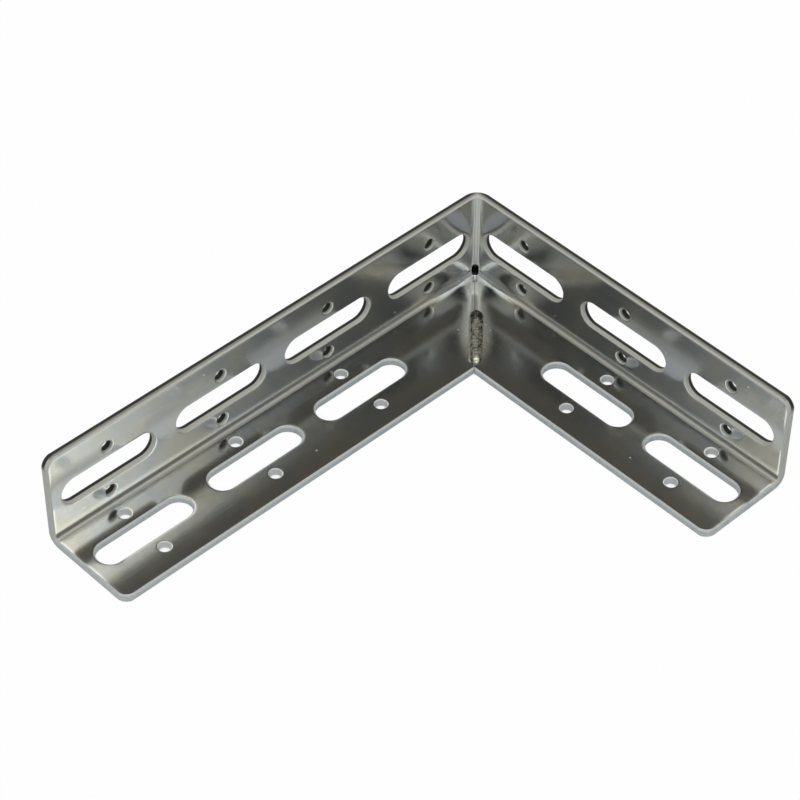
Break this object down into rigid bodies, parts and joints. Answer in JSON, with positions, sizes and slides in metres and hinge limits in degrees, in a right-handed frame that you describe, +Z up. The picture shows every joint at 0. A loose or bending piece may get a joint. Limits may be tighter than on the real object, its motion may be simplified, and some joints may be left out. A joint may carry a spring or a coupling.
{
  "type": "angle bracket",
  "caption": "Flat corner bracket of L-section sheet steel, folded to a right angle with a welded mitre, slotted and drilled along both flanges.",
  "frame": {"origin": "middle of the outline seen from above, on the underside that it rests on", "axes": "+X along the long arm towards its free end, +Y along the short arm towards its free end, +Z up along the upright flange; the outer corner is at -X and -Y"},
  "size_m": [0.202, 0.152, 0.04],
  "materials": {
    "zinc_steel": "bright zinc plate, slightly yellow, with fine scratches and dark weld discolouring"
  },
  "bodies": {
    "root": {"bracket": "zinc_steel"}
  },
  "joints": []
}
